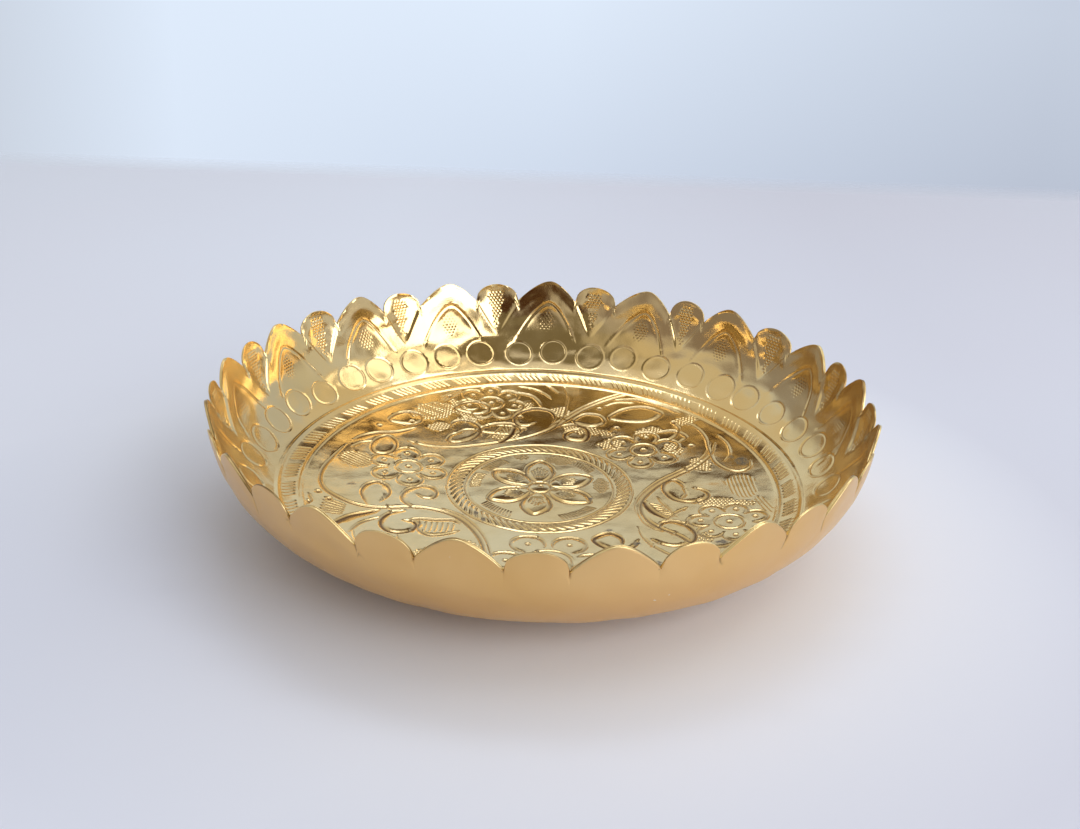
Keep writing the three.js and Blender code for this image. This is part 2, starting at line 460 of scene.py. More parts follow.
def addLine(points, width=1.25, depth=0.42, turn=0, closed=False, ready=False, soft=0):
    path = points if ready else curveThrough(points, closed)
    ornament["lines"].append({
        "path": turned(path, turn), "width": width, "depth": depth, "closed": closed, "soft": soft,
    })


def addLeaf(points, turn=0, depth=0.6, width=1.35, closed=False):
    # An outline, steep outside and soft towards the leaf
    path = curveThrough(points, closed)
    addLine(path, width, depth, turn, closed, True, turnSense(path))


def addDot(point, radius=1.0, depth=0.5, turn=0):
    ornament["dots"].append((turned(np.array([point], float), turn)[0], radius, depth))


def addPatch(kind, centre, radii, tilt=0, turn=0, pitch=1.3, depth=0.3):
    place = turned(np.array([centre], float), turn)[0]
    ornament["patches"].append({
        "kind": kind, "centre": place, "radii": radii, "tilt": tilt + turn, "pitch": pitch, "depth": depth,
    })


def addRosette(centre, ring, lobes, lobeRadius, distance, start, turn=0):
    # A ring with a dot, and overlapping lobes with a dot each
    addLine(ringPath(centre, ring), 1.3, 0.45, turn, True, True)
    addDot(centre, 1.5, 0.6, turn)
    spread = distance * math.sin(math.pi / lobes)
    cut = math.degrees(math.acos(spread / lobeRadius)) if spread < lobeRadius else 0
    for lobe in range(lobes):
        angle = start + lobe * 360 / lobes
        place = (centre[0] + distance * math.cos(math.radians(angle)),
                 centre[1] + distance * math.sin(math.radians(angle)))
        sweep = 142 - cut
        path = ringPath(place, lobeRadius, angle - sweep, angle + sweep)
        addLine(path, 1.25, 0.45, turn, False, True, 1)
        addDot(place, 1.3, 0.55, turn)


flower = {
    "petals": 6, "start": -92, "innerRing": 29.5, "bossRadius": 4.6, "boss": 0.5,
    "swell": 0.5, "swellMiddle": 13.5, "swellLength": 9.6, "swellWidth": 5.6,
}


def medallionLines():
    outline = [(4.6, -1.4), (8.5, -4.6), (13.5, -6.0), (18.5, -4.8), (23.0, -0.3),
               (18.8, 4.6), (13.5, 5.8), (8.5, 4.4), (4.6, 1.4)]
    for petal in range(flower["petals"]):
        angle = flower["start"] + petal * 60 + (3 if petal % 2 else -2)
        addLeaf(outline, angle, 0.62, 1.4)
        for across in (-3.2, -1.9, -0.6, 0.7, 2.0, 3.2):
            addLine([(8.5, across * 0.5), (16.6 - abs(across), across)], 1.0, 0.4, angle)
    addLine(ringPath((0, 0), flower["bossRadius"]), 1.3, 0.5, 0, True, True)
    addDot((0.4, 0.6), 1.4, 0.5)
    for centre, radii in (((8.5, 24), (6.5, 3.6)), ((24.5, 2.5), (3.2, 6)), ((-8, 25.5), (3.5, 2.4))):
        addPatch("dots", centre, radii)
    for first, last in ((-70, -38), (-144, -114), (36, 62), (126, 150), (160, 186)):
        for angle in np.arange(first, last, 2.9):
            addLine([(23.4, -0.6), (27.8, 0.5)], 0.8, 0.28, angle)


stems = {
    "side": (
        (-81, 23), (-84, 12), (-86, 0), (-85.3, -9), (-82, -16), (-76, -21.3), (-69, -24.8),
        (-62, -25.8), (-56, -24.8), (-49, -22.8), (-43, -22.5), (-36, -24.5), (-30, -28.4),
        (-25, -35), (-20.8, -44), (-18.2, -55), (-16.5, -65), (-12, -75), (-5, -83),
    ),
    "back": (
        (-56.5, 32.5), (-48, 29.8), (-38, 30.2), (-28.4, 33.5), (-19.2, 37.3), (-11, 41), (-3.5, 45.5),
        (3, 50.8), (8.3, 56.9), (14.1, 64.3), (20.5, 71.5), (29.2, 78.2), (38, 82.5), (46, 84),
    ),
}


def scrollStem(name, turn):
    # One of three stems that sweep past the medallion from border to border
    stem = curveThrough(stems[name])
    addLine(stem, 2.1, 0.6, turn, False, True)
    half = stem[len(stem) * 6 // 11:]
    along = np.gradient(half, axis=0)
    along /= np.hypot(along[:, 0], along[:, 1])[:, None]
    beside = half + np.stack([along[:, 1], -along[:, 0]], 1) * -2.1
    addLine(beside[2:], 1.3, 0.42, turn, False, True)


def commaCluster(turn):
    # Comma leaves, curled leaf, bud and small rosette of the right side
    addLeaf([(45.6, -34.5), (45, -30.5), (47, -27.2), (51.5, -27.2), (55.5, -30.5), (57.6, -36),
             (56.8, -41.5), (53.5, -45.3), (49, -46.8), (44.5, -45), (41, -41)], turn, 0.7, 1.5)
    addLeaf([(40.2, -9.4), (41.1, -15), (43.8, -20.6), (48.3, -25.4)], turn, 0.8, 1.9)
    addLine([(47.2, -27.5), (49, -24), (52.8, -19.5), (57, -16)], 1.3, 0.45, turn)
    addLine([(46, -7), (48, -13), (50.3, -18), (52.5, -24)], 1.1, 0.36, turn)
    for step in range(5):
        addLine([(42.6 + step, -12.6 - 2.1 * step), (47.4 + step, -14.8 - 2.1 * step)], 0.9, 0.3, turn)
    addLeaf([(57, -1.5), (57.2, 3), (54.5, 7), (51, 6.5), (49, 2), (49.2, -3), (52, -9),
             (57, -12), (62, -11.6), (65.5, -9), (66.3, -5), (64.3, -2), (61, -0.5)], turn, 0.65, 1.5)
    addLine([(55.5, -8.5), (57.4, -5), (57.2, 0)], 1.3, 0.45, turn)
    addLine([(36.8, -31), (38.6, -40), (42.5, -48), (50, -56.5), (57, -63), (66, -67)], 1.3, 0.45, turn)
    addLeaf([(55, -45.8), (60, -48), (66, -48.6), (70.5, -46), (74, -41.5)], turn, 0.5, 1.3)
    addLeaf([(29.3, -47), (30.8, -43), (30.4, -39), (27, -36), (22.8, -37.2), (20, -41),
             (22, -45.5), (26.5, -49), (31, -49.2), (35, -46), (36.8, -41.5)], turn, 0.75, 1.6)
    addRosette((71, -29), 5.4, 7, 4.7, 10.5, 17, turn)
    addPatch("dots", (71, -13), (13, 3.6), -12, turn, 1.45, 0.34)
    addPatch("dots", (60.5, -41), (3, 4.5), 0, turn, 1.45, 0.3)
    addPatch("hatch", (80, -2), (6.5, 9), 4, turn, 1.5, 0.2)
    addPatch("hatch", (86, -17), (3.2, 8), 12, turn, 1.5, 0.22)
    addLine([(58, -54), (64, -54.5), (70, -53), (76, -48)], 1.2, 0.4, turn)
    addLine([(60, -60), (68, -60), (75, -56)], 1.1, 0.36, turn)


def budCluster(turn):
    # Buds, curled leaf and hatched leaf of the left side
    addLeaf([(-64.5, -24), (-67, -19), (-68.8, -13.5), (-67.5, -7.5), (-63.5, -4.5), (-59.3, -7.5),
             (-57.6, -13.5), (-60, -21)], turn, 0.65, 1.4)
    addLeaf([(-46, -23.7), (-51, -20), (-53, -14.5), (-51.5, -8.5), (-47, -4.6), (-42, -5.2),
             (-39.7, -9.5), (-40.8, -14), (-44.5, -14.6), (-47.5, -12)], turn, 0.6, 1.5)
    addLeaf([(-50, -33.5), (-46, -33.5), (-44.5, -37), (-46, -41.5), (-50.5, -44), (-54.8, -43),
             (-57.6, -38.5), (-57.6, -33), (-55, -28.2), (-50.5, -25.8)], turn, 0.75, 1.6)
    addLeaf([(-44.6, -31.6), (-43.6, -35), (-44, -39), (-42, -42.4), (-38.5, -44), (-33.5, -42.3),
             (-28.8, -38.8)], turn, 0.6, 1.4)
    addLeaf([(-28.8, -32.8), (-32, -30.2), (-38, -31), (-44.8, -31.2), (-48, -33)], turn, 0.6, 1.4)
    for step in range(6):
        addLine([(-41.2 + 2 * step, -33.5), (-41.5 + 2 * step, -41.6 + 0.4 * step)], 1.0, 0.4, turn)
    addLine([(-50.5, -44), (-49.5, -48), (-46, -53.5), (-42, -60), (-37, -66)], 1.3, 0.45, turn)
    addLeaf([(-75, -43), (-69, -34), (-60, -27.6)], turn, 0.75, 2.3)
    addLine([(-67.5, -47), (-64.5, -38.8), (-58.5, -33)], 1.7, 0.5, turn)
    addLine([(-66.5, -44), (-64.5, -51), (-58, -62)], 1.3, 0.42, turn)
    for point in curveThrough([(-41, -58), (-37, -51.5), (-33, -48.3), (-28.5, -46.3),
                               (-24.5, -46.8), (-21.3, -50)], step=1.75):
        addDot(point, 0.95, 0.5, turn)
    addLine([(-39, -59), (-35.6, -52.6), (-32, -50), (-28.3, -48.4), (-25, -48.8), (-22, -53)],
            1.2, 0.45, turn)
    for point in ((-84, -19), (-86, -28), (-79, -23.5), (-75, -46), (-72.5, -40)):
        addDot(point, 1.6, 0.65, turn)
    addLine([(-87, -22), (-85, -27), (-86, -31), (-82.5, -36)], 1.4, 0.5, turn)
    for step in range(6):
        addLine([(-72, -27 - 1.4 * step), (-81, -23 - 2.3 * step)], 1.0, 0.32, turn)
    addPatch("dots", (-56.5, -48.5), (5, 3.2), 0, turn, 1.4, 0.34)
    addPatch("dots", (-38.5, -57.5), (4.5, 4), 0, turn, 1.4, 0.34)


def backScrolls():
    # Leaves that fill the back, and the front below the large rosette
    for outline in (
        ((30, 62), (36, 70), (46, 72), (54, 66), (50, 60), (42, 58)),
        ((14, 60), (19, 66), (26, 65), (28, 58.5), (23, 54.5), (17, 56)),
        ((-40, 66), (-34, 73), (-26, 72), (-24, 66), (-30, 62)),
        ((-67, 49), (-63, 57), (-55, 58), (-53, 51), (-59, 47)),
        ((-28, 47), (-22, 54), (-13, 55), (-9, 49), (-15, 45)),
    ):
        addLeaf(outline, 0, 0.6, 1.4, True)
    addLeaf([(33, 79), (44, 78.5), (54, 73), (62, 65)], 0, 0.55, 1.5)
    addLine([(28, 73), (34, 76), (42, 75.5)], 1.3, 0.45)
    addLeaf([(50, 49), (58, 50), (63, 44), (59, 39)], 0, 0.6, 1.4)
    for centre, radii in (((30, 39), (6, 4)), ((66, 19), (4.5, 6)), ((-32, 57), (6, 3)), ((64, 58), (5, 4)),
                          ((-45, 48), (5, 4)), ((8, 68), (4, 5)), ((47, 50), (7, 3.5))):
        addPatch("dots", centre, radii, 20, 0, 1.5, 0.4)
    for point in ((33, 53.5), (58.5, 57.5), (26, 71), (-20, 76), (-43, 76), (-70, 43), (64, 36)):
        addDot(point, 1.6, 0.65)
    for side in (-1, 1):
        addLeaf([(side * 24, -80), (side * 31, -74), (side * 41, -72), (side * 46, -77),
                 (side * 38, -82), (side * 29, -84)], 0, 0.6, 1.4, True)
        addPatch("hatch", (side * 35, -77.5), (7, 3.4), side * 65, 0, 1.6, 0.3)
        addPatch("dots", (side * 58, -64), (6, 4), side * 45, 0, 1.5, 0.34)


def sideScrolls():
    # Scrolls that fill the right and left sides, behind the clusters
    addLine([(37.8, -12), (38, -20), (39.3, -27), (42, -32), (46, -35.2)], 1.2, 0.4)
    addLine([(60, 60), (67, 53), (70.5, 44), (71, 33), (72, 22), (76, 14.3), (81, 11.5),
             (85.5, 14.5), (86.5, 20)], 1.6, 0.55)
    addLeaf([(58, 58), (60.5, 52), (58.5, 45), (54, 41)], 0, 0.55, 1.3)
    addLine([(76, 44), (79, 36), (79, 27), (76, 21)], 1.2, 0.4)
    addLine([(66, 66), (74, 58), (80, 48), (83.5, 38)], 1.3, 0.4)
    addPatch("hatch", (80, 3), (7, 7), 2, 0, 1.5, 0.22)
    addLeaf([(-79, 28), (-75.5, 33), (-70, 37), (-62, 40), (-55, 45)], 0, 0.65, 1.7)
    addLine([(-78.5, 22), (-75, 26.5), (-71, 29)], 1.5, 0.5)
    addLeaf([(-71, 26), (-69.5, 20.5), (-65.5, 19), (-61.5, 22), (-60.5, 28), (-62.5, 33.5),
             (-66, 35.5), (-69.5, 32)], 0, 0.65, 1.4, True)
    addPatch("dots", (-49, 61), (11, 7), 30, 0, 1.5, 0.34)
    addPatch("hatch", (-75, 12), (7, 8), 60, 0, 1.6, 0.3)
    addPatch("dots", (56, 33), (4, 5.5), 0, 0, 1.5, 0.36)
    addPatch("dots", (20, 51), (13, 4), -15, 0, 1.5, 0.36)
    addPatch("dots", (-16, 44), (7, 3.5), 10, 0, 1.5, 0.36)
    backScrolls()
    for point in ((-57, 50), (-60, 46.5), (-59, 58), (-24, 52), (-27, 43), (-8, 51), (-10, 62)):
        addDot(point, 1.6, 0.65)
    for centre, radii in (((83, 20), (3.4, 4.4)), ((79, 24), (1.4, 2)), ((42, -60.5), (1.2, 4)),
                          ((39.5, -57), (0.9, 2.4)), ((66, -44.5), (2.8, 1.5)), ((35.6, -44), (1.6, 1.3)),
                          ((26, -34), (1.6, 1.0)), ((-23.7, -24), (1.1, 1.8)), ((-20.5, -28.5), (1.1, 1.8)),
                          ((-73, -9), (1.5, 1.1)), ((20, -8), (1.1, 1.4)), ((34, -51), (2.2, 0.7)),
                          ((-6, -60), (1, 1.2))):
        addPatch("stain", centre, radii)


medallionLines()
for name, turn in (("side", 0), ("side", 120), ("back", 0)):
    scrollStem(name, turn)
addRosette((4, -59), 8.4, 6, 6.3, 15, 0)
addRosette((43.5, 33.5), 5.2, 6, 5.2, 11, 20)
addRosette((-53.5, 10.5), 5.2, 6, 5.2, 11, 40)
commaCluster(0)
commaCluster(130)
budCluster(0)
sideScrolls()
print("chasing:", len(ornament["lines"]), "lines and", len(ornament["dots"]), "dots")

rings = {
    "halfWidth": 1.3, "height": 0.32, "lineDepth": 0.27,
    "ropeIn": 30.4, "ropeOut": 36.0, "ropeHeight": 0.3,
    "ropeStrokes": 64, "ropeSlant": 52, "ropeDepth": 0.27, "ropeHalf": 0.75,
    "hatchGroups": 40, "hatchStrokes": 5, "hatchPitch": 2.35,
    "hatchInset": 1.9, "hatchSlant": 38, "hatchDepth": 0.22, "hatchHalf": 0.6,
}


def cutRope(work, radius, azimuth):
    # Slanted strokes between the medallion's two rings
    middle = (rings["ropeIn"] + rings["ropeOut"]) / 2
    half = (rings["ropeOut"] - rings["ropeIn"]) / 2
    slant = math.radians(rings["ropeSlant"])
    twist = math.tan(slant) / middle
    pitch = fullTurn / rings["ropeStrokes"]
    phase = (azimuth - twist * (radius - middle) + 0.02 * np.sin(3 * azimuth)) / pitch
    distance = np.abs(phase - np.round(phase)) * pitch * middle * math.cos(slant)
    inside = smooth((half - np.abs(radius - middle)) / 0.7)
    work["raised"] += rings["ropeHeight"] * bump(radius - middle, half + 0.6)
    cut = rings["ropeDepth"] * bump(distance, rings["ropeHalf"]) * inside
    strike(work, everywhere, cut, np.where(inside > 0, 0.3, farOff))


def cutBorder(work, radius, azimuth):
    # Groups of slanted strokes between the border's two rings
    outer = bowl["borderRadius"] - rings["hatchInset"]
    inner = fieldEdge + rings["hatchInset"]
    middle = (outer + inner) / 2
    slant = math.radians(rings["hatchSlant"])
    twist = math.tan(slant) / middle
    groups = rings["hatchGroups"] * (azimuth - twist * (radius - middle)) / fullTurn
    along = (groups - np.floor(groups)) * fullTurn * middle / rings["hatchGroups"]
    stroke = np.clip(np.round(along / rings["hatchPitch"]), 1, rings["hatchStrokes"])
    distance = np.abs(along - stroke * rings["hatchPitch"]) * math.cos(slant)
    inside = smooth((outer - radius) / 0.6) * smooth((radius - inner) / 0.6)
    cut = rings["hatchDepth"] * bump(distance, rings["hatchHalf"]) * inside
    strike(work, everywhere, cut, np.where(inside > 0, distance - 0.65, farOff))


def raiseRing(work, distance, least=0.0):
    work["raised"] += rings["height"] * bump(distance, rings["halfWidth"])
    markNear(work, everywhere, distance - rings["halfWidth"], least)


def flowerSwell(radius, azimuth):
    # The medallion's six petals were pushed up from behind
    pitch = fullTurn / flower["petals"]
    turn = around(azimuth, math.radians(flower["start"]))
    off = turn - np.round(turn / pitch) * pitch
    along = (radius * np.cos(off) - flower["swellMiddle"]) / flower["swellLength"]
    across = radius * np.sin(off) / flower["swellWidth"]
    return flower["swell"] * np.clip(1 - along ** 2 - across ** 2, 0, 1)


def chaseFloor(x, y):
    # Everything cut into the floor, at the points given
    work = newWork(x, y)
    radius = np.hypot(x, y)
    azimuth = np.arctan2(y, x)
    for patch in ornament["patches"]:
        mattPatch(work, patch)
    for line in ornament["lines"]:
        chaseLine(work, line)
    for centre, size, depth in ornament["dots"]:
        punchDot(work, centre, size, depth)
    work["sunk"] = work["sunk"] * smooth((fieldEdge - 1.2 - radius) / 1.2)
    cutRope(work, radius, azimuth)
    cutBorder(work, radius, azimuth)
    for ring, width in ((bowl["medallionRadius"], 1.4), (flower["innerRing"], 1.3)):
        distance = np.abs(radius - ring)
        line = rings["lineDepth"] * bump(distance, width / 2 + 0.05)
        strike(work, everywhere, line, distance - width / 2)
    for ring in (bowl["borderRadius"], fieldEdge):
        raiseRing(work, np.abs(radius - ring))
    boss = flower["boss"] * bump(radius, flower["bossRadius"] + 1.5) + flowerSwell(radius, azimuth)
    warped = (unevenness(x, y) + bowl["floorRise"]) * smooth((97 - radius) / 10)
    work["relief"] = np.maximum(work["raised"] + boss - work["sunk"] + warped, -bowl["deepest"])
    return work


def floorPoint(x, y, offset, relief):
    # The ring's crest leans with the wall, so that floor and wall meet in one line
    radius = np.hypot(x, y)
    lean = borderSlope * smooth(1 - (bowl["borderRadius"] - radius) / 3)
    height = floorHeight(radius, offset) + relief * np.cos(lean)
    inwards = 1 - relief * np.sin(lean) / np.maximum(radius, 1)
    return np.stack([x * inwards, y * inwards, height], 1)


# Chasing of the wall: circles above the border, and an arch in each large petal

wallChasing = {
    "circles": 40, "firstCircle": 88.0, "circleDepth": 36.2, "circleRadius": 6.4, "ringWidth": 1.3,
    "aside": 0.012, "lower": 1.2, "wider": 0.3, "oval": 0.04,      # how much the circles differ
    "archTop": 10.4, "archFoot": 30.5, "archHalf": 7.0, "archPoint": 0.62, "archAside": 0.9,
    "lineWidth": 1.8, "lineDepth": 0.28, "lineNear": 0.3,
    "panel": 0.4, "panelSlope": 2.6,           # the ground inside an arch
    "archRadius": 117, "smallRadius": 119,     # where the arches and the small petals' marks lie
    "markPitch": 1.5, "markShare": 0.43, "markDepth": 0.3, "archMark": 0.75,
    "marksPlace": (0.8, 20), "marksReach": (4.4, 6.6),     # in an arch
    "rowTop": 4.6, "rowFoot": 23, "rowHalf": 3.6, "rowSlant": 0.12,     # down a small petal
    "unevenness": 2.6,
}
circleSize = chance.uniform(-1, 1, wallChasing["circles"])
circleRise = chance.uniform(-1, 1, wallChasing["circles"])
circleTurn = chance.uniform(-1, 1, wallChasing["circles"])


def traceCircles(work, azimuth, depth):
    pitch = fullTurn / wallChasing["circles"]
    first = math.radians(wallChasing["firstCircle"])
    nearest = np.round((azimuth - first) / pitch).astype(int) % wallChasing["circles"]
    centre = first + nearest * pitch + wallChasing["aside"] * circleTurn[nearest]
    across = around(azimuth, centre) * wallFace(depth, bowl["stack"])[0]
    down = depth - wallChasing["circleDepth"] - wallChasing["lower"] * circleRise[nearest]
    ring = wallChasing["circleRadius"] + wallChasing["wider"] * circleSize[nearest]
    distance = np.abs(np.hypot(across, down * (1 + wallChasing["oval"] * circleTurn[nearest])) - ring)
    half = wallChasing["ringWidth"] / 2
    strike(work, everywhere, wallChasing["lineDepth"] * bump(distance, half), distance - half,
           wallChasing["lineNear"])


def traceArches(work, large, fromLarge, depth):
    # A panel sunk inside a traced line, with punch marks
    foot = wallChasing["archFoot"]
    inPetal = np.flatnonzero((np.abs(fromLarge) < math.radians(9)) & (depth < foot + 2))
    low = depth[inPetal]
    across = fromLarge[inPetal] * wallChasing["archRadius"]
    across = across - wallChasing["archAside"] * petalShift[large[inPetal]] * (1 - low / 30)
    climb = np.linspace(0, 1, 40)
    archDepth = wallChasing["archTop"] + (foot - wallChasing["archTop"]) * climb
    archHalf = math.radians(wallChasing["archHalf"]) * climb ** wallChasing["archPoint"]
    archHalf = archHalf * wallChasing["archRadius"]
    gap = distanceTo(np.abs(across), low, np.stack([archHalf, archDepth], 1))[0]
    inside = np.abs(across) < np.interp(low, archDepth, archHalf, left=-9)
    half = wallChasing["lineWidth"] / 2
    line = wallChasing["lineDepth"] * bump(gap, half) * smooth((foot + 0.5 - low) / 2.5)
    strike(work, inPetal, line, gap - half, wallChasing["lineNear"])
    panel = wallChasing["panel"] * np.where(inside, smooth(gap / wallChasing["panelSlope"]), 0)
    work["sunk"][inPetal] += panel * smooth((foot - 3 - low) / 9)
    distance, markU, markV = dotPattern(across, low, wallChasing["markPitch"])
    place, size = wallChasing["marksPlace"], wallChasing["marksReach"]
    reach = np.hypot((markU - place[0]) / size[0], (markV - place[1]) / size[1])
    live = inside & (reach < 1)
    mark = wallChasing["archMark"] * wallChasing["markDepth"] * smooth((1 - reach) * 1.8)
    mark = mark * bump(distance, wallChasing["markPitch"] * wallChasing["markShare"])
    work["sunk"][inPetal] += np.where(live, mark, 0)
    markNear(work, inPetal, np.where(live, 0.2, farOff))


def punchSmallPetals(work, fromSmall, depth):
    inSmall = np.flatnonzero((np.abs(fromSmall) < smallHalf) & (depth < petals["foot"]))
    low = depth[inSmall]
    slant = wallChasing["rowSlant"]
    across = fromSmall[inSmall] * wallChasing["smallRadius"] + slant * low
    distance, markU, markV = dotPattern(across, low, wallChasing["markPitch"])
    width = wallChasing["rowHalf"] * np.clip((26 - markV) / 16, 0, 1)
    live = np.abs(markU - slant * markV) < width
    live = live & (markV > wallChasing["rowTop"]) & (markV < wallChasing["rowFoot"])
    mark = wallChasing["markDepth"] * bump(distance, wallChasing["markPitch"] * wallChasing["markShare"])
    work["sunk"][inSmall] += np.where(live, mark, 0)
    markNear(work, inSmall, np.where(live, 0.2, farOff))


def chaseWall(azimuth, depth):
    # Everything cut into the wall, at the points given
    work = newWork(azimuth, depth)
    large, fromLarge, small, fromSmall = petalPlace(azimuth)
    traceCircles(work, azimuth, depth)
    traceArches(work, large, fromLarge, depth)
    punchSmallPetals(work, fromSmall, depth)
    raiseRing(work, np.abs(borderDepth - depth), wallChasing["lineNear"])
    # The mesh is split too at the step behind which the small petals stand
    share = np.clip((petals["foot"] - depth) / (petals["foot"] - petals["notch"]), 0, 1)
    step = np.abs(np.abs(fromSmall) - smallHalf * share) * petals["midRadius"]
    step = np.where(depth < petals["foot"] + 1, step, farOff)
    markNear(work, everywhere, step - petals["stepWidth"], wallChasing["lineNear"])
    calm = smooth((borderDepth - depth) / 8)
    warped = wallChasing["unevenness"] * unevenness(azimuth * warp["wallRadius"], depth * 1.3 + 40) * calm
    thin = smooth(1 - (depth - edgeDepth(azimuth)) / petals["rimTaper"])
    inner, outer = petalForm(azimuth, depth)
    deepest = (bowl["deepest"] * (1 - thin) + 0.12 * thin) * (1 - (inner - outer) / bowl["stack"])
    work["relief"] = np.maximum(work["raised"] - work["sunk"] + warped * wrapFade(azimuth), -deepest)
    return work


def wrapFade(azimuth):
    # The wall's unevenness dies out where the azimuth starts again
    return smooth(np.abs(around(azimuth, -math.pi / 2)) / 0.06)


# Sheet making: a grid rolled into a ring, finer beside the chasing, closed underneath

def unitGrid(bm, columns, rows):
    made = bmesh.ops.create_grid(bm, x_segments=columns, y_segments=rows, size=0.5)
    return made["verts"]


def templatePlace(verts):
    flat = np.array([vert.co[:2] for vert in verts])
    return flat[:, 0] + 0.5, flat[:, 1] + 0.5


def refineBeside(bm, shape, reach):
    # Splits the edges that lie beside a chased line
    bm.verts.ensure_lookup_table()
    bm.verts.index_update()
    near = shape(*templatePlace(bm.verts))["near"] < reach
    busy = [edge for edge in bm.edges
            if not edge.is_boundary and near[edge.verts[0].index] and near[edge.verts[1].index]]
    bmesh.ops.subdivide_edges(bm, edges=busy, cuts=1, use_grid_fill=True)


def setPlaces(bm, verts, made):
    for vert, place in zip(verts, made["places"]):
        vert.co = place
    for name in ("groove", "stain"):
        if name in made:
            layer = bm.verts.layers.float[name]
            for vert, value in zip(verts, made[name]):
                vert[layer] = value


def drawStrip(bm, level, material=0):
    # Draws a new strip out of the grid's first or last row
    row = [edge for edge in bm.edges
           if edge.is_boundary and edge.verts[0].co.x != edge.verts[1].co.x
           and all(abs(vert.co.y + 0.5 - level) < 0.0001 for vert in edge.verts)]
    made = bmesh.ops.extrude_edge_only(bm, edges=row)["geom"]
    for item in made:
        if isinstance(item, bmesh.types.BMFace):
            item.material_index = material
    return [item for item in made if isinstance(item, bmesh.types.BMVert)]


def rolledSheet(top, under, columns, topRows, underRows, reaches=(), rim=None):
    # A closed ring-shaped sheet: top face, under face, and the strips between them.
    # A rim gives the rounded profile of the cut edge, from the top face round to the under face
    bm = bmesh.new()
    for name in ("across", "groove", "stain"):
        bm.verts.layers.float.new(name)
    unitGrid(bm, columns, topRows)
    for reach in reaches:
        refineBeside(bm, top, reach)
    topVerts = list(bm.verts)
    topU, topV = templatePlace(topVerts)
    across = bm.verts.layers.float["across"]
    for vert, value in zip(topVerts, topU):
        vert[across] = value
    profile = cutEdge["profile"] if rim else ()
    strips = [(drawStrip(bm, 1, 1), rim, point) for point in profile]
    strips.append((drawStrip(bm, 1, 1 if rim else 0), under, 1.0))
    strips.append((drawStrip(bm, 0), under, 0.0))
    setPlaces(bm, topVerts, top(topU, topV))
    for verts, shape, level in strips:
        u = np.array([vert[across] for vert in verts])
        setPlaces(bm, verts, shape(u, level))
    underVerts = unitGrid(bm, columns, underRows)
    setPlaces(bm, underVerts, under(*templatePlace(underVerts)))
    bmesh.ops.remove_doubles(bm, verts=bm.verts, dist=0.004)
    return bm


def faceOutwards(bm):
    bmesh.ops.recalc_face_normals(bm, faces=bm.faces)
    if bm.calc_volume(signed=True) < 0:
        bmesh.ops.reverse_faces(bm, faces=bm.faces)


def meshFrom(bm, name):
    mesh = bpy.data.meshes.new(name)
    bm.to_mesh(mesh)
    bm.free()
    return mesh


def addObject(name, data):
    made = bpy.data.objects.new(name, data)
    bpy.context.scene.collection.objects.link(made)
    return made


def finishPiece(bm, name, node, materials):
    faceOutwards(bm)
    openEdges = sum(1 for edge in bm.edges if not edge.is_manifold)
    bmesh.ops.scale(bm, vec=(mm, mm, mm), verts=bm.verts)
    for face in bm.faces:
        face.smooth = True
    mesh = meshFrom(bm, name)
    mesh.set_sharp_from_angle(angle=math.radians(creaseAngle))
    piece = addObject(name, mesh)
    for material in materials:
        mesh.materials.append(material)
    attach(piece, "root")
    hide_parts(node)
    triangles = sum(len(face.vertices) - 2 for face in mesh.polygons)
    print(name, "triangles", triangles, "open edges", openEdges)


# Materials

def newMaterial(name):
    material = bpy.data.materials.new(name)
    material.use_nodes = True
    tree = material.node_tree
    return material, tree, tree.nodes["Principled BSDF"]


def setInputs(tree, node, inputs):
    # Each socket, by its name or number, takes a value or another node's output
    for key, value in inputs.items():
        if isinstance(value, bpy.types.NodeSocket):
            tree.links.new(value, node.inputs[key])
        else:
            node.inputs[key].default_value = value


def addNode(tree, kind, settings=None, inputs=None):
    node = tree.nodes.new(kind)
    for key, value in (settings or {}).items():
        setattr(node, key, value)
    setInputs(tree, node, inputs or {})
    return node


def addMath(tree, operation, a, b, clamp=False):
    node = addNode(tree, "ShaderNodeMath", {"operation": operation, "use_clamp": clamp}, {0: a, 1: b})
    return node.outputs[0]


def addVectorMath(tree, operation, a, b, output=0):
    node = addNode(tree, "ShaderNodeVectorMath", {"operation": operation}, {0: a, 1: b})
    return node.outputs[output]


def addNoise(tree, place, scale, detail=3.0, roughness=0.5):
    inputs = {"Vector": place, "Scale": scale, "Detail": detail, "Roughness": roughness}
    return addNode(tree, "ShaderNodeTexNoise", None, inputs).outputs["Fac"]


def addRange(tree, value, fromLow, fromHigh, toLow, toHigh):
    inputs = {0: value, 1: fromLow, 2: fromHigh, 3: toLow, 4: toHigh}
    return addNode(tree, "ShaderNodeMapRange", None, inputs).outputs[0]


def addMix(tree, share, first, second, blend="MIX"):
    settings = {"data_type": "RGBA", "blend_type": blend}
    return addNode(tree, "ShaderNodeMix", settings, {0: share, 6: first, 7: second}).outputs[2]


def addAreas(tree, colour, areas, values):
    # Lays areas over a colour. Each has its colour, how it mixes, and its limits: which of the
    # values it goes by, where it starts and where it is full
    for areaColour, blend, limits in areas.values():
        share = None
        for name, start, full in limits:
            part = addRange(tree, values[name], start, full, 0, 1)
            share = part if share is None else addMath(tree, "MULTIPLY", share, part)
        colour = addMix(tree, share, colour, areaColour, blend)
    return colour


def addBump(tree, height, distance, strength=1.0, before=None):
    inputs = {"Height": height, "Distance": distance, "Strength": strength}
    if before is not None:
        inputs["Normal"] = before
    return addNode(tree, "ShaderNodeBump", None, inputs).outputs[0]


def attributeValue(tree, name):
    return addNode(tree, "ShaderNodeAttribute", {"attribute_name": name}).outputs["Fac"]


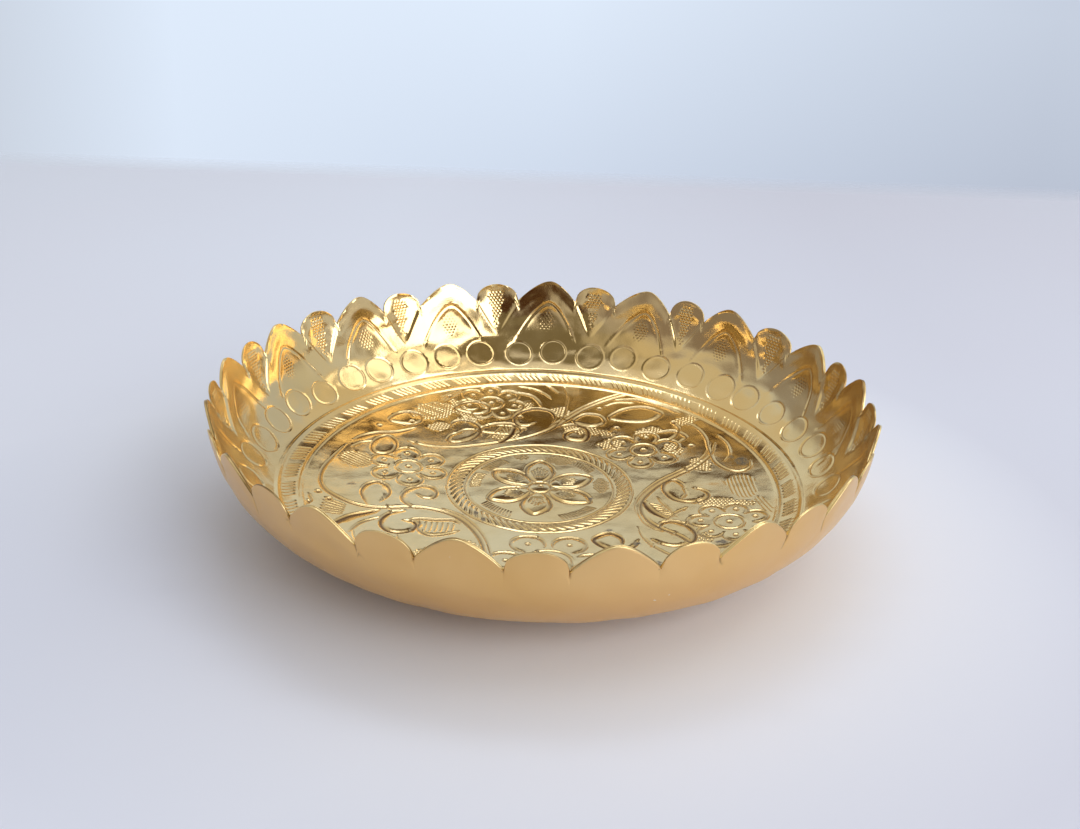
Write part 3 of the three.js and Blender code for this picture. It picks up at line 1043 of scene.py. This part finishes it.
linerBrass = {
    "bright": (0.795, 0.612, 0.318, 1), "warm": (0.785, 0.56, 0.245, 1), "cloudScale": 28,
    "dirtAndShadeColour": (0.20, 0.10, 0.03, 1), "dirtAndShade": 0.55, "dirtAndShadePower": 2.6,      # grime that lies in the grooves, and painted shade in them
    "stain": (0.10, 0.105, 0.12, 1), "stainScale": 800,
    "roughness": 0.15, "smudgeScale": 95, "beatenScale": 120, "scratchScale": 1600,
}


def polishedBrass():
    material, tree, shader = newMaterial("chasedLinerBrass")
    place = addNode(tree, "ShaderNodeTexCoord").outputs["Object"]
    cloudy = addRange(tree, addNoise(tree, place, linerBrass["cloudScale"], 4), 0.35, 0.65, 0, 1)
    smudges = addNoise(tree, place, linerBrass["smudgeScale"], 5, 0.6)
    colour = addMix(tree, cloudy, linerBrass["bright"], linerBrass["warm"])
    # The grooves are darkened towards their bottoms: partly grime that lies in them, partly painted shade
    groove = attributeValue(tree, "groove")
    deep = addMath(tree, "POWER", groove, linerBrass["dirtAndShadePower"])
    dirtAndShade = addMath(tree, "MULTIPLY", deep, linerBrass["dirtAndShade"], True)
    colour = addMix(tree, dirtAndShade, colour, linerBrass["dirtAndShadeColour"])
    stain = attributeValue(tree, "stain")
    patchy = addRange(tree, addNoise(tree, place, linerBrass["stainScale"]), 0.35, 0.6, 0.25, 0.85)
    blotch = addMath(tree, "MULTIPLY", stain, patchy, True)
    colour = addMix(tree, blotch, colour, linerBrass["stain"])
    low, high = linerBrass["roughness"] - 0.05, linerBrass["roughness"] + 0.06
    rough = addRange(tree, smudges, 0.3, 0.7, low, high)
    rough = addMath(tree, "ADD", rough, addMath(tree, "MULTIPLY", groove, 0.08))
    rough = addMath(tree, "ADD", rough, addMath(tree, "MULTIPLY", blotch, 0.3))
    beaten = addBump(tree, addNoise(tree, place, linerBrass["beatenScale"], 1.5), 0.0005, 0.4)
    scratches = addNoise(tree, place, linerBrass["scratchScale"], 2)
    scratches = addBump(tree, scratches, 0.00004, 0.5, beaten)
    setInputs(tree, shader, {
        "Base Color": colour, "Metallic": 1.0, "Roughness": rough, "Normal": scratches,
    })
    return material


shellBrass = {
    "face": (0.80, 0.495, 0.175, 1), "worn": (0.84, 0.545, 0.225, 1), "cloudScale": 22,
    # The last of these darkens the creases below the notches: painted shade
    "chip": (0.9, 0.86, 0.8, 1), "chipScale": 420, "creaseShade": 0.8,
    "roughness": 0.4, "smudgeScale": 70, "spunScale": 2600, "dentScale": 45,
    "coat": 0.3, "coatRoughness": 0.25,      # clear lacquer
}


def spunNormal(tree, place):
    # Faint turning lines under the satin, and soft dents
    parts = addNode(tree, "ShaderNodeSeparateXYZ", None, {0: place})
    across = addMath(tree, "MULTIPLY", parts.outputs["X"], parts.outputs["X"])
    along = addMath(tree, "MULTIPLY", parts.outputs["Y"], parts.outputs["Y"])
    radius = addMath(tree, "SQRT", addMath(tree, "ADD", across, along), 0)
    level = addMath(tree, "ADD", radius, parts.outputs["Z"])
    grain = addNode(tree, "ShaderNodeTexNoise", {"noise_dimensions": "1D"},
                    {"W": level, "Scale": shellBrass["spunScale"], "Detail": 3})
    lines = addBump(tree, grain.outputs["Fac"], 0.00003, 0.6)
    return addBump(tree, addNoise(tree, place, shellBrass["dentScale"], 2), 0.0006, 0.3, lines)


def satinBrass():
    material, tree, shader = newMaterial("satinShellBrass")
    place = addNode(tree, "ShaderNodeTexCoord").outputs["Object"]
    cloudy = addRange(tree, addNoise(tree, place, shellBrass["cloudScale"], 4), 0.35, 0.65, 0, 1)
    colour = addMix(tree, cloudy, shellBrass["face"], shellBrass["worn"])
    # The creases below the notches are painted dark: painted shade in them
    creaseShade = addMath(tree, "MULTIPLY", attributeValue(tree, "groove"), shellBrass["creaseShade"], True)
    colour = addMix(tree, creaseShade, colour, linerBrass["dirtAndShadeColour"])
    chips = addRange(tree, addNoise(tree, place, shellBrass["chipScale"], 2), 0.765, 0.78, 0, 0.8)
    colour = addMix(tree, chips, colour, shellBrass["chip"])
    smudges = addNoise(tree, place, shellBrass["smudgeScale"], 5, 0.6)
    low, high = shellBrass["roughness"] - 0.04, shellBrass["roughness"] + 0.05
    setInputs(tree, shader, {
        "Base Color": colour, "Metallic": 1.0, "Roughness": addRange(tree, smudges, 0.3, 0.7, low, high),
        "Coat Weight": shellBrass["coat"], "Coat Roughness": shellBrass["coatRoughness"],
        "Normal": spunNormal(tree, place),
    })
    return material


def edgeBrass(name, darkShare):
    # Cut edge: bright where it was filed, dull where it wasn't
    material, tree, shader = newMaterial(name)
    place = addNode(tree, "ShaderNodeTexCoord").outputs["Object"]
    marks = addNoise(tree, place, cutEdge["markScale"], 2)
    colour = addMix(tree, marks, cutEdge["filed"], cutEdge["bare"])
    dull = addNoise(tree, place, cutEdge["dullScale"], 3)
    dull = addRange(tree, dull, 0.62 - darkShare, 0.7 - darkShare, 0, 0.85)
    colour = addMix(tree, dull, colour, cutEdge["dark"])
    setInputs(tree, shader, {
        "Base Color": colour, "Metallic": 1.0, "Roughness": cutEdge["roughness"],
        "Normal": addBump(tree, marks, 0.0001, 0.6),
    })
    return material


polished = polishedBrass()
satin = satinBrass()
linerEdge = edgeBrass("linerEdgeBrass", 0.16)
shellEdge = edgeBrass("shellEdgeBrass", 0.06)
print("materials made")


# Liner: the medallion, the field round it, the border band and the wall with its petals

liner = {
    "medallionCells": 200,
    "field": ((290, 22), (400, 26)),   # columns and rows of the inner and the outer band
    "fieldSplit": 62.0,
    "border": (1632, 20),
    "belly": 26,                       # rows
    "petals": 24,
    "underRows": 6,
    "lineReach": (1.3, 0.5),           # how far beside a line the mesh is split, once and twice
    "splits": (-18.0, -131.0, 158.0),  # where the two sheets have sprung apart at the rim
    "splitLift": 0.25,
    "splitHalf": 0.09,
}


def squareToDisc(x, y):
    # A square of -1 to 1 becomes a disc, with even cells
    return x * np.sqrt(1 - y * y / 2), y * np.sqrt(1 - x * x / 2)


def linerFloor(x, y):
    work = chaseFloor(x, y)
    work["places"] = floorPoint(x, y, bowl["stack"], work["relief"])
    # The grooves' depth, by which the material darkens them with grime and painted shade
    work["groove"] = work["sunk"] / 0.42
    return work


def makeMedallion():
    bm = bmesh.new()
    for name in ("groove", "stain"):
        bm.verts.layers.float.new(name)
    verts = unitGrid(bm, liner["medallionCells"], liner["medallionCells"])
    u, v = templatePlace(verts)
    x, y = squareToDisc(2 * u - 1, 2 * v - 1)
    setPlaces(bm, verts, linerFloor(x * bowl["medallionRadius"], y * bowl["medallionRadius"]))
    bmesh.ops.recalc_face_normals(bm, faces=bm.faces)
    if sum(face.normal.z for face in bm.faces) < 0:
        bmesh.ops.reverse_faces(bm, faces=bm.faces)
    bmesh.ops.solidify(bm, geom=list(bm.faces), thickness=bowl["linerSheet"])
    finishPiece(bm, "liner_medallion", "embossed_liner", [polished])


def makeFloorBand(name, inner, outer, grid, reaches):
    def plan(u, v):
        radius = inner * (outer / inner) ** v
        azimuth = azimuthOf(u)
        return radius * np.cos(azimuth), radius * np.sin(azimuth)

    def top(u, v):
        return linerFloor(*plan(u, v))

    def under(u, v):
        x, y = plan(u, v)
        return {"places": floorPoint(x, y, bowl["linerUnder"], 0 * x)}

    bm = rolledSheet(top, under, grid[0], grid[1], 4, reaches)
    finishPiece(bm, name, "embossed_liner", [polished])


def splitLift(azimuth):
    # Where the two sheets have sprung apart at the rim
    return liner["splitLift"] * sum(bump(around(azimuth, math.radians(split)), liner["splitHalf"])
                                    for split in liner["splits"])


def makeWallBand(name, low, high, rows, reaches, materials):
    # A band of the wall between two levels, each given as a depth for every azimuth
    def place(u, v):
        azimuth = petalAzimuth(u)
        return azimuth, low(azimuth) + (high(azimuth) - low(azimuth)) * v

    def top(u, v):
        azimuth, depth = place(u, v)
        work = chaseWall(azimuth, depth)
        work["places"] = wallPoint(azimuth, depth, np.full(len(u), bowl["stack"]), work["relief"])
        # The grooves' depth, by which the material darkens them with grime and painted shade
        work["groove"] = work["sunk"] / 0.5
        return work

    def under(u, v):
        azimuth, depth = place(u, v)
        closing = smooth(1 - (depth - edgeDepth(azimuth)) / 4)
        return {"places": wallPoint(azimuth, depth, bowl["linerUnder"] + splitLift(azimuth) * closing)}

    def rim(u, point):
        return rimPoint(u, point, bowl["stack"] - 0.02, bowl["linerUnder"] + splitLift(petalAzimuth(u)))

    columns = petals["pairs"] * petals["columns"]
    edged = rim if len(materials) > 1 else None
    bm = rolledSheet(top, under, columns, rows, liner["underRows"], reaches, edged)
    finishPiece(bm, name, "embossed_liner", materials)


# Shell

shell = {
    "rows": 60, "petalShare": 0.34, "underRows": 10, "baseRadius": 57.0, "warp": 2.2,
    "shortestSlit": 0.8, "longerSlit": 7.5, "slitBend": 0.014, "slitDepth": 0.35, "slitHalf": 0.5,
    "slitRadius": 120,
}
slitLength = shell["shortestSlit"] + shell["longerSlit"] * chance.uniform(0, 1, petals["pairs"] * 2) ** 3
slitBend = chance.uniform(-1, 1, petals["pairs"] * 2)


def cutSlits(azimuth, depth):
    # Below each notch the shell is creased where two petals meet
    large, fromLarge, small, fromSmall = petalPlace(azimuth)
    side = (fromSmall > 0).astype(int)
    which = small * 2 + side
    below = depth - petals["notch"]
    share = np.clip(below / slitLength[which], 0, 1)
    line = smallHalf + shell["slitBend"] * slitBend[which] * share ** 2
    distance = np.abs(np.abs(fromSmall) - line) * shell["slitRadius"]
    strength = np.sqrt(np.clip(1 - share, 0, 1)) * (below > -9.5)
    beside = (below < 9) & (np.abs(fromSmall) < smallHalf * 1.5)
    near = np.where(beside, np.maximum(distance - shell["slitHalf"], 0), farOff)
    return shell["slitDepth"] * bump(distance, shell["slitHalf"]) * strength, near


def makeShell():
    flatDepth = meridian["length"] - shell["baseRadius"]
    plainShare = 1 - shell["petalShare"]

    def depths(azimuth, v):
        edge = edgeDepth(azimuth) + cutEdge["setBack"]
        plain = flatDepth + (petals["foot"] - flatDepth) * v / plainShare
        rising = petals["foot"] + (edge - petals["foot"]) * (v - plainShare) / (1 - plainShare)
        return np.where(v < plainShare, plain, rising)

    def outside(u, v):
        azimuth = petalAzimuth(u)
        depth = depths(azimuth, v)
        slit, near = cutSlits(azimuth, depth)
        warped = shell["warp"] * unevenness(azimuth * warp["wallRadius"] + 60, depth) * wrapFade(azimuth)
        calm = smooth((depth - 3) / 12) * smooth((flatDepth - 6 - depth) / 12)
        return {
            "places": wallPoint(azimuth, depth, np.zeros(len(u)), slit + warped * calm),
            # The crease's depth, which the material paints dark as shade
            "groove": slit / shell["slitDepth"],
            "near": near,
        }

    def inside(u, v):
        azimuth = petalAzimuth(u)
        return {"places": wallPoint(azimuth, depths(azimuth, v), np.full(len(u), bowl["shellSheet"]))}

    def rim(u, point):
        return rimPoint(u, point, 0.02, bowl["shellSheet"])

    columns = petals["pairs"] * petals["columns"]
    bm = rolledSheet(outside, inside, columns, shell["rows"], shell["underRows"], (1.0, 0.5), rim)
    # The base is flat, so both faces close as one disc each, in place of the strip between them
    def onBaseEdge(vert):
        return abs(math.hypot(vert.co.x, vert.co.y) - shell["baseRadius"]) < 0.05

    strip = [face for face in bm.faces if all(onBaseEdge(vert) for vert in face.verts)]
    bmesh.ops.delete(bm, geom=strip, context="FACES")
    holes = [edge for edge in bm.edges if edge.is_boundary]
    bmesh.ops.edgeloop_fill(bm, edges=holes)
    finishPiece(bm, "satin_shell", "outer_shell", [satin, shellEdge])


makeMedallion()
makeFloorBand("liner_field_inner", bowl["medallionRadius"], liner["fieldSplit"], liner["field"][0],
              liner["lineReach"])
makeFloorBand("liner_field_outer", liner["fieldSplit"], fieldEdge, liner["field"][1], liner["lineReach"])
makeFloorBand("liner_border", fieldEdge, bowl["borderRadius"], liner["border"], ())


def borderLevel(azimuth):
    return borderDepth + 0 * azimuth


def footLevel(azimuth):
    return petals["foot"] + 0 * azimuth


def cutLevel(azimuth):
    return edgeDepth(azimuth) + cutEdge["setBack"]


makeWallBand("liner_belly", borderLevel, footLevel, liner["belly"], (1.2,), [polished])
makeWallBand("liner_petals", footLevel, cutLevel, liner["petals"], (1.2, 0.25), [polished, linerEdge])
makeShell()


# Floor, light and camera

studio = {
    "floor": (0.79, 0.84, 0.965, 1), "cloud": (0.79, 0.82, 0.94, 1), "cloudScale": 2.2, "roughness": 0.5,
    "half": 2.4, "back": 0.64, "front": -2.4, "below": -0.0001, "fade": 0.06,
    # Centre of the painted shadow at the bowl's left
    "paintedShadowPlace": (-0.13, -0.06, 0.0),
}
# Tints laid over the floor's colour: painted light and painted shade
clothAreas = {
    # Painted shade: the floor's right side darker
    "right": ((0.86, 0.84, 0.845, 1), "MULTIPLY", (("X", -0.12, 0.22),)),
    # Painted light: the floor paler and bluer near the bowl, lifting its shadow
    "paintedLightNearBowl": ((0.86, 0.90, 1.0, 1), "MIX", (("fromBowl", 0.21, 0.13),)),
    # Painted shade: the floor darker towards the front
    "front": ((0.92, 0.925, 0.93, 1), "MULTIPLY", (("Y", 0.1, -0.2),)),
    # Painted shadow at the bowl's left side
    "left": ((0.87, 0.87, 0.90, 1), "MULTIPLY", (("fromPaintedShadow", 0.13, 0.02),)),
}


def paleCloth():
    material, tree, shader = newMaterial("paleFloor")
    place = addNode(tree, "ShaderNodeTexCoord").outputs["Object"]
    cloud = addRange(tree, addNoise(tree, place, studio["cloudScale"], 3), 0.3, 0.7, 0, 1)
    parts = addNode(tree, "ShaderNodeSeparateXYZ", None, {0: place}).outputs
    values = {
        "X": parts["X"], "Y": parts["Y"],
        "fromBowl": addVectorMath(tree, "DISTANCE", place, (0, 0, 0), "Value"),
        "fromPaintedShadow": addVectorMath(tree, "DISTANCE", place, studio["paintedShadowPlace"], "Value"),
    }
    tint = addAreas(tree, addMix(tree, cloud, studio["floor"], studio["cloud"]), clothAreas, values)
    fade = addRange(tree, parts["Y"], studio["back"] - studio["fade"], studio["back"], 1, 0)
    setInputs(tree, shader, {"Base Color": tint, "Roughness": studio["roughness"], "Alpha": fade})
    return material


def makeFloor():
    bm = bmesh.new()
    bmesh.ops.create_grid(bm, x_segments=4, y_segments=4, size=1)
    for vert in bm.verts:
        vert.co.x *= studio["half"]
        vert.co.y = studio["front"] + (studio["back"] - studio["front"]) * (vert.co.y + 1) / 2
        vert.co.z = studio["below"]
    mesh = meshFrom(bm, "studio_floor")
    floor = addObject("studio_floor", mesh)
    mesh.materials.append(paleCloth())


# The room round the bowl, by direction, as the polished liner shows it
sky = {
    "cameraSide": (0.62, 0.62, 0.65, 1),
    "person": (0.07, 0.03, 0.012, 1), "personPlace": (0.09, -0.97, 0.19), "personSize": (0.18, 0.5, 0.28),
}
skyAreas = {
    "behind": ((0.745, 0.84, 0.973, 1), "MIX", (("Y", -0.35, 0.5),)),
    "right": ((0.77, 0.755, 0.765, 1), "MULTIPLY", (("X", 0.0, 0.4), ("Y", 0.1, 0.6))),
    "low": ((0.85, 0.85, 0.87, 1), "MULTIPLY", (("Z", -0.05, -0.2), ("X", -0.45, 0.0))),
    "upper": ((0.70, 0.67, 0.59, 1), "MIX", (("Z", 0.5, 0.6),)),
    "zenith": ((0.80, 0.81, 0.85, 1), "MIX", (("Z", 0.84, 0.96),)),
    # The ceiling's dark part, over the camera
    "shade": ((0.21, 0.185, 0.13, 1), "MIX", (("Z", 0.18, 0.42), ("Y", -0.04, -0.2), ("X", -0.5, -0.2))),
    "left": ((0.46, 0.40, 0.37, 1), "MULTIPLY", (("X", -0.32, -0.7), ("Z", 0.55, 0.35))),
    # The dark wood over the window at the back: the bowl's floor shows it beyond the medallion
    "lintel": ((0.075, 0.04, 0.015, 1), "MIX",
               (("slanted", 0.505, 0.54), ("Z", 0.73, 0.66), ("Y", 0.02, 0.2), ("X", -0.27, -0.13),
                ("X", 0.3, 0.17))),
}


def makeWorld():
    world = bpy.data.worlds.new("studioSky")
    bpy.context.scene.world = world
    world.use_nodes = True
    tree = world.node_tree
    towards = addNode(tree, "ShaderNodeTexCoord").outputs["Generated"]
    parts = addNode(tree, "ShaderNodeSeparateXYZ", None, {0: towards}).outputs
    slanted = addMath(tree, "ADD", parts["Z"], addMath(tree, "MULTIPLY", parts["X"], 0.2))
    values = {"X": parts["X"], "Y": parts["Y"], "Z": parts["Z"], "slanted": slanted}
    colour = addAreas(tree, sky["cameraSide"], skyAreas, values)
    away = addVectorMath(tree, "SUBTRACT", towards, sky["personPlace"])
    scaled = addVectorMath(tree, "DIVIDE", away, sky["personSize"])
    reach = addVectorMath(tree, "DISTANCE", scaled, (0, 0, 0), "Value")
    colour = addMix(tree, addRange(tree, reach, 0.85, 1.1, 1, 0), colour, sky["person"])
    setInputs(tree, tree.nodes["Background"], {"Color": colour, "Strength": 1.0})


windowDistance = 1.8
windows = {
    # Azimuth, elevation, size, radiance and colour
    "frontWindow": (-40, 26, (1.3, 1.45), 3.4, (0.97, 0.98, 1.02)),
    "sideWindow": (8, 55, (0.9, 0.9), 1.2, (0.99, 0.98, 0.97)),
    "ceilingWindow": (86, 68, (1.1, 0.36), 3.1, (0.9, 0.97, 1.12)),
}


def addWindow(name, azimuth, elevation, size, radiance, colour):
    # A soft window: its radiance is what a mirror of it shows
    lamp = bpy.data.lights.new(name, "AREA")
    lamp.shape = "RECTANGLE"
    lamp.size, lamp.size_y = size
    lamp.energy = radiance * math.pi * size[0] * size[1]
    lamp.color = colour
    turn, rise = math.radians(azimuth), math.radians(elevation)
    towards = Vector((math.cos(turn) * math.cos(rise), math.sin(turn) * math.cos(rise), math.sin(rise)))
    holder = addObject(name, lamp)
    holder.location = towards * windowDistance
    holder.rotation_mode = "QUATERNION"
    holder.rotation_quaternion = towards.to_track_quat("Z", "Y")


camera = {
    "place": (0.0, -0.3785, 0.2035), "pitch": 24.12, "yaw": -0.13, "roll": 1.965,
    "lens": 35.85, "sensor": 36,
}


def makeCamera():
    lens = bpy.data.cameras.new("camera")
    lens.lens = camera["lens"]
    lens.sensor_width = camera["sensor"]
    lens.clip_start = 0.01
    lens.dof.use_dof = False
    holder = addObject("camera", lens)
    turn = Matrix.Rotation(-math.radians(camera["yaw"]), 4, "Z")
    tilt = Matrix.Rotation(math.radians(90 - camera["pitch"]), 4, "X")
    roll = Matrix.Rotation(math.radians(camera["roll"]), 4, "Z")
    holder.matrix_world = Matrix.Translation(camera["place"]) @ turn @ tilt @ roll
    bpy.context.scene.camera = holder


makeFloor()
makeWorld()
for name, window in windows.items():
    addWindow(name, *window)
makeCamera()
bpy.context.scene.view_settings.view_transform = "Standard"
print("floor, lights and camera made")
